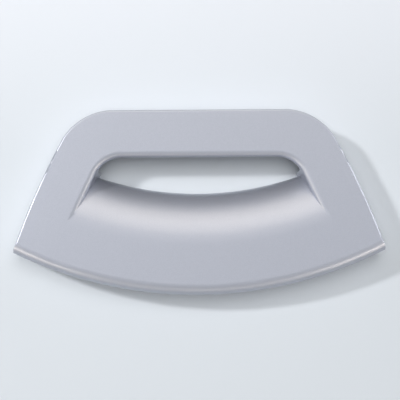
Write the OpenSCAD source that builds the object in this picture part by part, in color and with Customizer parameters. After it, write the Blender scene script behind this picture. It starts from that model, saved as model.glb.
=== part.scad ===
// Door handle of a washing machine: one moulded plate that closes a sector of the round door.
// It lies face up, with the door's centre towards +Y. A bar crosses the end nearest the centre,
// a scoop round the door's centre leads the fingers under it, and the far edge rolls over as a lip.

/* [Plate] */
// Width across the two lower corners
plate_w = 200; // [180:1:220]
// Length from the lip to the straight top edge
plate_len = 100; // [94:1:112]
// Depth from the back rim to the face
plate_h = 24; // [22:0.5:30]
// Thickness of the moulded walls
wall = 2.5; // [1.5:0.1:3]
// Radius of the lip about the door's centre
lip_r = 226; // [205:1:260]
// Radius that rolls the face over into the lip
lip_roll = 6; // [4:0.5:8]
// Radius of the bowed side edges
side_r = 400; // [300:5:500]
// Lean of a side edge at its lower corner, in degrees from straight up
side_lean = 18.5; // [16:0.5:20]
// Radius of the two top corners
corner_r = 32.5; // [28:0.5:36]
// Rounding of the side and top edges
edge_r = 1.2; // [0.6:0.1:1.5]

/* [Finger pocket] */
// Width of the bar, from the top edge to the pocket's rim
bar_w = 22.5; // [18:0.5:25]
// Depth below the face of the wall that hangs from the rim round the finger opening
rim_wall_h = 4; // [3.5:0.5:9]
// Rounding of that wall's ends, where they turn down to the scoop
rim_wall_roll = 4; // [2:0.5:6]
// Set-back of those ends from the scoop's steep edge
rim_wall_end = 2; // [1:0.5:4]
// Width of a side frame, from the side edge to the pocket's rim beside the bar
frame_w = 23.5; // [20:0.5:26]
// Lean of the pocket's side walls, in degrees from straight up
rim_lean = 25; // [22:0.5:28]
// Radius of the pocket's two corners, at the foot of the rim's rounding
pocket_corner_r = 16; // [10:0.5:18]
// Rounding of the pocket's rim
rim_roll = 3.2; // [2.4:0.1:3.4]

/* [Scoop] */
// Gap for the fingers on the middle line, from the bar's inner wall to the scoop's steep edge
finger_gap = 18.2; // [16:0.1:22]
// Run of the scoop, from that edge to where the face starts to fall away
scoop_run = 30; // [26:0.5:36]
// Drop of the scoop from the face to where it stands upright
scoop_drop = 20; // [18:0.5:21]
// Radius that turns the foot of the scoop upright
scoop_foot_r = 11; // [9:0.5:13]

/* [Back] */
// Angle between neighbouring ribs, seen from the door's centre
rib_step = 5; // [4:0.5:8]
// Number of ribs on each side of the middle one
rib_pairs = 4; // [2:1:4]
// Thickness of a rib
rib_w = 1.4; // [1:0.1:2]
// Height of a rib above the inner skin
rib_h = 4; // [2:0.5:5]
// Outer diameter of a screw boss
boss_d = 8; // [7:0.5:10]
// Diameter of the pilot hole for the screw
pilot_d = 2.6; // [2:0.1:3.2]
// Depth of the pilot hole
pilot_depth = 12; // [8:1:14]
// Distance of a boss's mouth from the back rim
boss_set_back = 1; // [0.5:0.5:3]
// Distance of an upper boss from the top edge
upper_boss_drop = 18; // [16:0.5:20]
// Distance of an upper boss beyond the pocket's rim beside the bar
upper_boss_out = 5.5; // [4:0.5:8]
// Distance of a lower boss in from the lower corner
lower_boss_in = 22; // [20:0.5:26]
// Height of a lower boss above the lower corner
lower_boss_rise = 12.5; // [11:0.5:15]
// Thickness of the fins that brace a boss
fin_w = 1.4; // [1:0.1:2]
// Reach of a fin beyond its boss, at the skin
fin_reach = 4; // [2:0.5:5]
// Distance of the ribs and fins from the back rim
rib_set_back = 3; // [2:0.5:6]

/* [Snap hooks] */
// Width of a snap hook
hook_w = 8; // [5:0.5:9]
// Thickness of a hook's tongue
hook_t = 1.8; // [1.4:0.1:2.4]
// Reach of the nose beyond the tongue
hook_nose = 1.4; // [0.8:0.1:2]
// Height of the nose
hook_nose_h = 4; // [3:0.5:6]
// Height of the nose's point, on its way from the tip to the catch
hook_point_h = 2.8; // [1:0.1:3]
// Distance of a hook's tip from the back rim
hook_set_back = 1; // [0.5:0.5:3]
// Gap between a tongue and the wall behind its nose
hook_gap = 5; // [4:0.5:7]
// Angle from the middle to each hook at the lip, seen from the door's centre
hook_turn = 12.5; // [11:0.5:14]
// Distance between the two hooks in the bar
bar_hook_gap = 54; // [50:1:58]

/* [Hidden] */
$fn = 96;
silver = [0.74, 0.76, 0.80];

// Tools cut past a surface by this much, and joined pieces bite this deep
over = 1;
bite = 0.6;
// Depth below the back rim to which the pocket's tools reach
tool_depth = 3;
// A corner's disc stands proud by this much, so it crosses its neighbours and doesn't only touch them
cross = 0.1;

// Places in the plate's own frame: the middle of the outline's box is the origin
top_y = plate_len / 2;
door_y = lip_r - plate_len / 2;
corner_y = door_y - sqrt(pow(lip_r, 2) - pow(plate_w / 2, 2));
side_x = plate_w / 2 - side_r * cos(side_lean);
side_y = corner_y - side_r * sin(side_lean);

// Centre of the right top corner's rounding, which touches the top edge and the side's bow
turn_y = top_y - corner_r;
turn_x = side_x + sqrt(pow(side_r - corner_r, 2) - pow(turn_y - side_y, 2));
turn_from = atan2(turn_y - side_y, turn_x - side_x);

// Pocket: walls stand one rounding inside the rim
rim_y = top_y - bar_w;
rim_x = side_x + sqrt(pow(side_r, 2) - pow(rim_y - side_y, 2)) - frame_w;
pocket_y = rim_y - rim_roll;
pocket_x = rim_x - rim_roll * (1 - sin(rim_lean)) / cos(rim_lean);
pocket_turn_x = pocket_x - pocket_corner_r * tan(45 - rim_lean / 2);
pocket_turn_y = pocket_y - pocket_corner_r;

// Scoop: a wide arc from the face meets the foot's arc, which runs on under it by an angle
foot_lap = 20;
scoop_edge_r = door_y - pocket_y + finger_gap;
foot_x = scoop_edge_r + scoop_foot_r;
foot_z = plate_h - scoop_drop;
scoop_start_r = scoop_edge_r + scoop_run;
scoop_r = (pow(scoop_run, 2) + pow(scoop_drop, 2) - 2 * scoop_run * scoop_foot_r)
    / (2 * (scoop_drop - scoop_foot_r));
scoop_z = plate_h - scoop_r;
scoop_bend = atan2(scoop_start_r - foot_x, foot_z - scoop_z);

// Section of a plate between two reaches, its upper outer corner rounded
module rounded_section(inner, outer, bottom, top, roll) {
    translate([inner, bottom])
        square([outer - inner, top - bottom - roll]);
    if (roll > 0) {
        translate([inner, bottom])
            square([outer - inner - roll, top - bottom]);
        translate([outer - roll, top - roll])
            circle(roll);
    }
}

// Section of a cut that ends in a wall and flares out over a rounded rim
module flared_section(inner, outer, bottom, top, roll) {
    translate([inner, bottom])
        square([outer - inner, top + over - bottom]);
    if (roll > 0)
        difference() {
            translate([outer - bite, top - roll])
                square([roll + bite, roll + over]);
            translate([outer + roll, top - roll])
                circle(roll);
        }
}

// Draws a section along a straight edge that faces the given way
module along_edge(place, facing) {
    translate([place[0], place[1], 0])
        rotate([0, 0, facing])
            rotate([90, 0, 0])
                linear_extrude(height = 2 * plate_w, center = true)
                    children();
}

// Plan of a wedge between two directions from a corner, with its far corner on their middle
module wedge(from, to, reach) {
    middle = (from + to) / 2;
    polygon([
        [0, 0],
        reach * [cos(from), sin(from)],
        reach / cos(middle - from) * [cos(middle), sin(middle)],
        reach * [cos(to), sin(to)]
    ]);
}

module corner_wedge(place, from, to, reach, bottom, top) {
    translate([place[0], place[1], bottom])
        linear_extrude(height = top - bottom)
            wedge(from, to, reach);
}

module both_sides() {
    children();
    mirror([1, 0, 0])
        children();
}

// The plate's outer form without its pocket, shrunk by an inset and starting at a height
module plate_form(inset, bottom) {
    top = plate_h - inset;
    side_roll = max(edge_r - inset, 0);
    difference() {
        intersection() {
            translate([0, door_y, 0])
                rotate_extrude()
                    rounded_section(0, lip_r - inset, bottom, top, max(lip_roll - inset, 0));
            for_side(1)
                rotate_extrude()
                    rounded_section(0, side_r - inset, bottom, top, side_roll);
            for_side(-1)
                rotate_extrude()
                    rounded_section(0, side_r - inset, bottom, top, side_roll);
            along_edge([0, top_y - inset], 90)
                rounded_section(-2 * plate_len, 0, bottom, top, side_roll);
        }
        both_sides()
            difference() {
                corner_wedge([turn_x, turn_y], turn_from, 90, 2 * corner_r, bottom - over, top + over);
                translate([turn_x, turn_y, 0])
                    rotate_extrude()
                        rounded_section(0, corner_r - inset + cross, bottom - 2 * over, top, side_roll);
            }
    }
}

// Centre of the bow of the right or left side edge
module for_side(side) {
    translate([side * side_x, side_y, 0])
        children();
}

// The pocket's plan, grown outwards by a wall, with its rim flared where the face is cut
module pocket_plan(grow, roll) {
    bottom = -tool_depth;
    difference() {
        intersection() {
            along_edge([0, pocket_y + grow], 90)
                flared_section(-2 * plate_len, 0, bottom, plate_h, roll);
            both_walls(grow, 1)
                flared_section(-2 * plate_w, 0, bottom, plate_h, roll);
            both_walls(grow, -1)
                flared_section(-2 * plate_w, 0, bottom, plate_h, roll);
        }
        both_sides()
            difference() {
                corner_wedge([pocket_turn_x, pocket_turn_y], rim_lean, 90,
                    2 * (pocket_corner_r + grow + rim_roll), bottom - over, plate_h + over / 2);
                translate([pocket_turn_x, pocket_turn_y, 0])
                    rotate_extrude()
                        flared_section(0, pocket_corner_r + grow + cross, bottom - 2 * over, plate_h, roll);
            }
    }
}

// One leaning side wall of the pocket
module both_walls(grow, side) {
    mirror([side < 0 ? 1 : 0, 0, 0])
        along_edge([pocket_x, pocket_y] + grow * [cos(rim_lean), sin(rim_lean)], rim_lean)
            children();
}

// Sector of a disc between two directions from its centre
module sector(centre, r, from, to) {
    translate(centre)
        intersection() {
            circle(r);
            wedge(from, to, 2 * r);
        }
}

// Section of the scoop's material: the wide arc, the foot's arc and what lies under them
module scoop_section(grow) {
    sunk = min(scoop_z, -tool_depth) - over;
    sector([scoop_start_r, scoop_z], scoop_r - grow, 90, 90 + scoop_bend);
    sector([foot_x, foot_z], scoop_foot_r - grow, 90 + scoop_bend - foot_lap, 180);
    polygon([
        [scoop_edge_r + grow, sunk],
        [scoop_edge_r + grow, foot_z],
        [foot_x, foot_z],
        [scoop_start_r, scoop_z],
        [scoop_start_r, sunk]
    ]);
}

// All that lies inside and above the scoop's surface, grown into the material by a wall
module scoop_space(grow) {
    translate([0, door_y, 0])
        rotate_extrude()
            difference() {
                translate([0, -tool_depth])
                    square([scoop_start_r, plate_h + 2 * tool_depth]);
                scoop_section(grow);
            }
}

// The finger pocket with the scoop as its floor
module pocket(grow, roll) {
    intersection() {
        pocket_plan(grow, roll);
        scoop_space(grow);
    }
}

// The hollow behind the skin, a given distance below the outer faces
module hollow(depth) {
    difference() {
        plate_form(depth, -over);
        pocket(depth, 0);
    }
}

// Space under the rim round the finger opening, where the fingers hook behind it
module rim_gap() {
    intersection() {
        translate([0, door_y, 0])
            rotate_extrude()
                rounded_section(0, scoop_edge_r - rim_wall_end, -over, plate_h - rim_wall_h, rim_wall_roll);
        pocket_plan(wall + rib_h + over, 0);
    }
}

// Webs that run out from the door's centre and follow the inner skin
module ribs() {
    reach = lip_r + over;
    difference() {
        for (i = [-rib_pairs:rib_pairs])
            translate([0, door_y, 0])
                rotate([0, 0, -90 + i * rib_step])
                    translate([0, -rib_w / 2, rib_set_back])
                        cube([reach, rib_w, plate_h - rib_set_back]);
        hollow(wall + rib_h);
    }
}

// Round post for a screw, braced by four fins that widen towards the skin
module boss() {
    translate([0, 0, boss_set_back])
        cylinder(d = boss_d, h = plate_h - boss_set_back);
    for (turn = [0, 90])
        rotate([90, 0, turn])
            linear_extrude(height = fin_w, center = true)
                both_sides()
                    polygon([
                        [0, rib_set_back],
                        [boss_d / 2, rib_set_back],
                        [boss_d / 2 + fin_reach, plate_h],
                        [0, plate_h]
                    ]);
}

module at_bosses() {
    both_sides() {
        translate([rim_x + upper_boss_out, top_y - upper_boss_drop, 0])
            children();
        translate([plate_w / 2 - lower_boss_in, corner_y + lower_boss_rise, 0])
            children();
    }
}

// Springy tongue whose nose points along +X, its back face at the origin
module snap_hook() {
    tip = hook_set_back;
    rotate([90, 0, 0])
        linear_extrude(height = hook_w, center = true)
            polygon([
                [-hook_t, tip],
                [0, tip],
                [hook_nose, tip + hook_point_h],
                [0, tip + hook_nose_h],
                [0, plate_h],
                [-hook_t, plate_h]
            ]);
}

module snap_hooks() {
    both_sides() {
        translate([0, door_y, 0])
            rotate([0, 0, -90 + hook_turn])
                translate([lip_r - wall - hook_gap, 0, 0])
                    snap_hook();
        translate([bar_hook_gap / 2, top_y - wall - hook_gap, 0])
            rotate([0, 0, 90])
                snap_hook();
    }
}

// What stands on the back of the skin
module back() {
    intersection() {
        union() {
            ribs();
            at_bosses()
                boss();
            snap_hooks();
        }
        hollow(wall - bite);
    }
}

module door_handle() {
    color(silver)
        difference() {
            union() {
                difference() {
                    plate_form(0, 0);
                    pocket(0, rim_roll);
                    hollow(wall);
                }
                back();
            }
            rim_gap();
            at_bosses()
                cylinder(d = pilot_d, h = 2 * (boss_set_back + pilot_depth), center = true);
        }
}

door_handle();
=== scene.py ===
import math

import bmesh
import bpy
from mathutils import Matrix, Vector
from mathutils.bvhtree import BVHTree


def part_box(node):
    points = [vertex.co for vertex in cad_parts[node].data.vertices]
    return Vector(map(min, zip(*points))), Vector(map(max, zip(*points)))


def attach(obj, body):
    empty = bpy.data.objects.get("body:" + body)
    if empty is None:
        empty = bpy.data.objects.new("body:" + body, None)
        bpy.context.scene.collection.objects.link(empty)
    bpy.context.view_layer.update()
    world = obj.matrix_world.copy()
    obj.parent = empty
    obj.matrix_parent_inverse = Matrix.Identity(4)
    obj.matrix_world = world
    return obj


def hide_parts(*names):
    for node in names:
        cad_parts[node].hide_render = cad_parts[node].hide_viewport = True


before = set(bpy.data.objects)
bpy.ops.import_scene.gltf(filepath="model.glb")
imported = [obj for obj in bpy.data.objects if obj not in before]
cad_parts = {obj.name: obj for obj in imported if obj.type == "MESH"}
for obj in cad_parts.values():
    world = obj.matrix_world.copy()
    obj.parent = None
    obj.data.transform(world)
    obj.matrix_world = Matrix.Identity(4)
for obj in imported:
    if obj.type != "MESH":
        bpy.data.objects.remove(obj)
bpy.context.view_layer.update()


# View of the handle.
# The plate lies flat and is seen from nearly straight above, a little from the lip's side,
# through a long lens that keeps its outline true.
FACE_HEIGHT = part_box("door_handle")[1].z
EYE = Vector((-0.0112, -0.052, 0.524))
AIM = Vector((0.0001, 0.0006, FACE_HEIGHT))
LENS = 84.5
ROLL = math.radians(-0.63)


def added(name, data):
    """A new object in the scene that holds a camera, a mesh or a lamp."""
    item = bpy.data.objects.new(name, data)
    bpy.context.scene.collection.objects.link(item)
    return item


def aimed(place, target, upwards):
    """The matrix of a camera or lamp that stands at a place and looks at a target."""
    back = (place - target).normalized()
    right = upwards.cross(back).normalized()
    turn = Matrix((right, back.cross(right), back)).transposed().to_4x4()
    return Matrix.Translation(place) @ turn


camera_data = bpy.data.cameras.new("camera")
camera_data.lens = LENS
camera = added("camera", camera_data)
camera.matrix_world = aimed(EYE, AIM, Vector((0, 1, 0))) @ Matrix.Rotation(ROLL, 4, "Z")
bpy.context.scene.camera = camera


# The handle.
# One moulding in grey ABS. Its face, rim, lip and outer walls are sprayed silver from above and
# lacquered satin. The back stays bare, and is clipped and screwed into the door's ring.
MERGE = 1e-6
SMOOTH_ANGLE = math.radians(28)
SPRAY_TILT = math.radians(45)
SPRAY_TURNS = 8
LEAST_FACING = 0.05
OFF_FACE = 1e-5
PAINTED = 0
BARE = 1

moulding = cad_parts["door_handle"]
shell_mesh = moulding.data.copy()
shell_mesh.name = "painted_handle"
shell = bmesh.new()
shell.from_mesh(shell_mesh)
bmesh.ops.remove_doubles(shell, verts=shell.verts, dist=MERGE)
for edge in shell.edges:
    edge.smooth = len(edge.link_faces) == 2 and edge.calc_face_angle() < SMOOTH_ANGLE

# The spray comes from straight above and from all round at a tilt. What it reaches is painted.
spray = [Vector((0, 0, 1))]
for step in range(SPRAY_TURNS):
    tilted = Matrix.Rotation(SPRAY_TILT, 3, "Y") @ Vector((0, 0, 1))
    spray.append(Matrix.Rotation(step * math.tau / SPRAY_TURNS, 3, "Z") @ tilted)
walls = BVHTree.FromBMesh(shell)
for face in shell.faces:
    face.smooth = True
    start = face.calc_center_median() + face.normal * OFF_FACE
    reached = any(
        face.normal.dot(way) > LEAST_FACING and walls.ray_cast(start, way)[0] is None for way in spray
    )
    face.material_index = PAINTED if reached else BARE
shell.to_mesh(shell_mesh)
shell.free()

# Normals kept from the loose triangles would hide the even shading.
if "custom_normal" in shell_mesh.attributes:
    shell_mesh.attributes.remove(shell_mesh.attributes["custom_normal"])
handle = added("painted_handle", shell_mesh)
even_shading = handle.modifiers.new("even_shading", "WEIGHTED_NORMAL")
even_shading.keep_sharp = True


class Sheet:
    """The nodes of one material, or of the room's light, added one at a time."""

    def __init__(self, owner):
        owner.use_nodes = True
        self.owner = owner
        self.tree = owner.node_tree
        # A new material comes with the first of these, and a new world with the second.
        self.shader = self.tree.nodes.get("Principled BSDF") or self.tree.nodes["Background"]

    def put(self, socket, value):
        if isinstance(value, Number):
            value = value.socket
        if isinstance(value, bpy.types.NodeSocket):
            self.tree.links.new(value, socket)
        else:
            socket.default_value = value

    def fill(self, node, **values):
        for name, value in values.items():
            self.put(node.inputs[name.replace("_", " ")], value)
        return node

    def node(self, kind, settings=None, **values):
        made = self.tree.nodes.new(kind)
        for name, value in (settings or {}).items():
            setattr(made, name, value)
        return self.fill(made, **values)

    def maths(self, operation, first, second):
        made = self.node("ShaderNodeMath", {"operation": operation})
        self.put(made.inputs[0], first)
        self.put(made.inputs[1], second)
        return Number(self, made.outputs[0])

    def noise(self, point, scale, detail):
        made = self.node("ShaderNodeTexNoise", Vector=point, Scale=scale, Detail=detail)
        return Number(self, made.outputs["Fac"])

    def blend(self, factor, first, second):
        made = self.node("ShaderNodeMix", {"data_type": "RGBA"})
        self.put(made.inputs["Factor"], factor)
        self.put(made.inputs["A"], first)
        self.put(made.inputs["B"], second)
        return made.outputs["Result"]


class Number:
    """A value socket that takes part in sums."""

    def __init__(self, sheet, socket):
        self.sheet = sheet
        self.socket = socket

    def __add__(self, other):
        return self.sheet.maths("ADD", self, other)

    def __radd__(self, other):
        return self.sheet.maths("ADD", other, self)

    def __sub__(self, other):
        return self.sheet.maths("SUBTRACT", self, other)

    def __rsub__(self, other):
        return self.sheet.maths("SUBTRACT", other, self)

    def __mul__(self, other):
        return self.sheet.maths("MULTIPLY", self, other)

    def __rmul__(self, other):
        return self.sheet.maths("MULTIPLY", other, self)


def silver_paint():
    """Fine aluminium flakes in a cool silver coat, with a faint peel in the lacquer over them."""
    dark_flake = (0.39, 0.41, 0.475, 1)
    bright_flake = (0.49, 0.51, 0.575, 1)
    satin = 0.42
    patchiness = 0.1

    paint = Sheet(bpy.data.materials.new("silver_paint"))
    point = paint.node("ShaderNodeTexCoord").outputs["Object"]
    flakes = paint.noise(point, scale=2600.0, detail=2.0)
    peel = paint.noise(point, scale=420.0, detail=1.0)
    height = flakes * 0.5 + peel * 0.5
    bump = paint.node("ShaderNodeBump", Strength=0.08, Distance=0.0002, Height=height)
    paint.fill(
        paint.shader,
        Base_Color=paint.blend(flakes, dark_flake, bright_flake),
        Roughness=satin + patchiness * (peel - 0.5),
        Metallic=0.6,
        Coat_Weight=0.3,
        Coat_Roughness=0.2,
        Normal=bump.outputs["Normal"],
    )
    return paint.owner


def bare_plastic():
    """Dull grey ABS as it leaves a spark-eroded mould, a little uneven in tone."""
    dark_grey = (0.34, 0.345, 0.355, 1)
    light_grey = (0.43, 0.435, 0.445, 1)
    dull = 0.5
    unevenness = 0.16

    plastic = Sheet(bpy.data.materials.new("bare_plastic"))
    point = plastic.node("ShaderNodeTexCoord").outputs["Object"]
    grain = plastic.noise(point, scale=1800.0, detail=2.0)
    flow = plastic.noise(point, scale=35.0, detail=2.0)
    bump = plastic.node("ShaderNodeBump", Strength=0.15, Distance=0.0002, Height=grain)
    plastic.fill(
        plastic.shader,
        Base_Color=plastic.blend(flow, dark_grey, light_grey),
        Roughness=dull + unevenness * (grain - 0.5),
        Normal=bump.outputs["Normal"],
    )
    return plastic.owner


silver = silver_paint()
handle.data.materials.clear()
handle.data.materials.append(silver)
handle.data.materials.append(bare_plastic())
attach(handle, "root")
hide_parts("door_handle")
moulding.data.materials.clear()
moulding.data.materials.append(silver)


# The table.
# A plain white tabletop under the handle, with painted shade that makes it a little less bright on
# the side of the lip. Far off it fades into the backdrop, and from below it is clear, so that the
# handle's back shows.
TABLE_HALF = 3.0
# Painted shade and light: the darker white on the lip's side and the lighter one beyond stand in for
# the lamps' falloff.
PAINTED_SHADE_WHITE = (0.68, 0.72, 0.76, 1)
PAINTED_LIGHT_WHITE = (0.79, 0.82, 0.87, 1)
FADE_FROM = 0.03
FADE_TO = 0.13
SWEEP_FROM = 0.30
SWEEP_TO = 0.80
BACKDROP_COLOUR = (0.93, 0.96, 1.0, 1)
BACKDROP = 0.52

top = bmesh.new()
bmesh.ops.create_grid(top, x_segments=1, y_segments=1, size=TABLE_HALF)
top_mesh = bpy.data.meshes.new("table")
top.to_mesh(top_mesh)
top.free()
table = added("table", top_mesh)


def backdrop_rays(sheet):
    """1 for the rays that see the backdrop: the camera's, and those off gloss or through glass."""
    rays = sheet.node("ShaderNodeLightPath").outputs
    seen = rays["Is Camera Ray"]
    for kind in ("Is Glossy Ray", "Is Transmission Ray"):
        seen = sheet.maths("MAXIMUM", seen, rays[kind])
    return seen


white = Sheet(bpy.data.materials.new("table_white"))
point = white.node("ShaderNodeTexCoord").outputs["Object"]
along = white.node("ShaderNodeSeparateXYZ", Vector=point).outputs["Y"]
# Painted light falloff: the table's colour goes from the darker white to the lighter one along its
# length.
painted_falloff = white.node("ShaderNodeMapRange", Value=along, From_Min=FADE_FROM, From_Max=FADE_TO)
tone = white.blend(painted_falloff.outputs["Result"], PAINTED_SHADE_WHITE, PAINTED_LIGHT_WHITE)
white.fill(white.shader, Base_Color=tone, Roughness=0.7)

distance = white.node("ShaderNodeVectorMath", {"operation": "LENGTH"}, Vector=point).outputs["Value"]
sweep = white.node("ShaderNodeMapRange", Value=distance, From_Min=SWEEP_FROM, From_Max=SWEEP_TO)
glow = white.node("ShaderNodeEmission", Color=BACKDROP_COLOUR, Strength=BACKDROP)
swept = white.node("ShaderNodeMixShader", Fac=backdrop_rays(white) * sweep.outputs["Result"])
white.put(swept.inputs[1], white.shader.outputs["BSDF"])
white.put(swept.inputs[2], glow.outputs["Emission"])

below = white.node("ShaderNodeNewGeometry").outputs["Backfacing"]
clear = white.node("ShaderNodeBsdfTransparent")
cover = white.node("ShaderNodeMixShader", Fac=below)
white.put(cover.inputs[1], swept.outputs["Shader"])
white.put(cover.inputs[2], clear.outputs["BSDF"])
white.fill(white.tree.nodes["Material Output"], Surface=cover.outputs["Shader"])
table.data.materials.append(white.owner)


# The light.
# A soft lamp above and a smaller one from the upper left light the handle and its table. Warm
# panels behind the bar and before the lip, and plain ones at the sides, show only as sheen.
FILL = 0.12
PLAIN = (1.0, 1.0, 1.0)
WARM = (1.0, 0.90, 0.76)
SUNNY = (1.0, 0.89, 0.74)
LEFT_EDGE_POWER = 0.8
RIGHT_EDGE_POWER = 2.4


def soft_lamp(name, place, size, power, colour=PLAIN):
    """An oval area lamp, turned to the spot on the table under the middle of the handle."""
    lamp = bpy.data.lights.new(name, "AREA")
    lamp.shape = "ELLIPSE"
    lamp.size = size[0]
    lamp.size_y = size[1]
    lamp.energy = power
    lamp.color = colour
    item = added(name, lamp)
    item.matrix_world = aimed(Vector(place), Vector((0, 0, 0)), Vector((0, 0, 1)))
    return item


# Mirrored in the flat face, the lamp above would burn it out, so it shows in no reflection.
overhead = soft_lamp("overhead", place=(0.02, 0.10, 1.20), size=(0.85, 1.20), power=10.3)
overhead.visible_glossy = False
soft_lamp("key", place=(-0.99, 0.42, 1.08), size=(0.14, 0.14), power=10.2)

behind = soft_lamp("sheen_behind", place=(0.0, 0.78, 0.74), size=(1.30, 0.75), power=4.0, colour=WARM)
before = soft_lamp("sheen_lip", place=(0.0, -0.72, 0.26), size=(0.60, 0.12), power=0.35, colour=SUNNY)
sheens = [behind, before]
for side, across, edge_power in (("left", -1, LEFT_EDGE_POWER), ("right", 1, RIGHT_EDGE_POWER)):
    by_lip = (across * 0.56, -0.41, 0.32)
    by_edge = (across * 0.66, 0.22, 0.36)
    sheens.append(soft_lamp(f"sheen_lip_{side}", by_lip, size=(0.70, 0.16), power=1.5, colour=SUNNY))
    sheens.append(soft_lamp(f"sheen_edge_{side}", by_edge, size=(0.50, 0.20), power=edge_power))
for sheen in sheens:
    sheen.visible_diffuse = False

room = Sheet(bpy.data.worlds.new("pale_room"))
strength = room.node("ShaderNodeMapRange", Value=backdrop_rays(room), To_Min=FILL, To_Max=BACKDROP)
room.fill(room.shader, Color=BACKDROP_COLOUR, Strength=strength.outputs["Result"])
bpy.context.scene.world = room.owner
bpy.context.scene.view_settings.view_transform = "Standard"
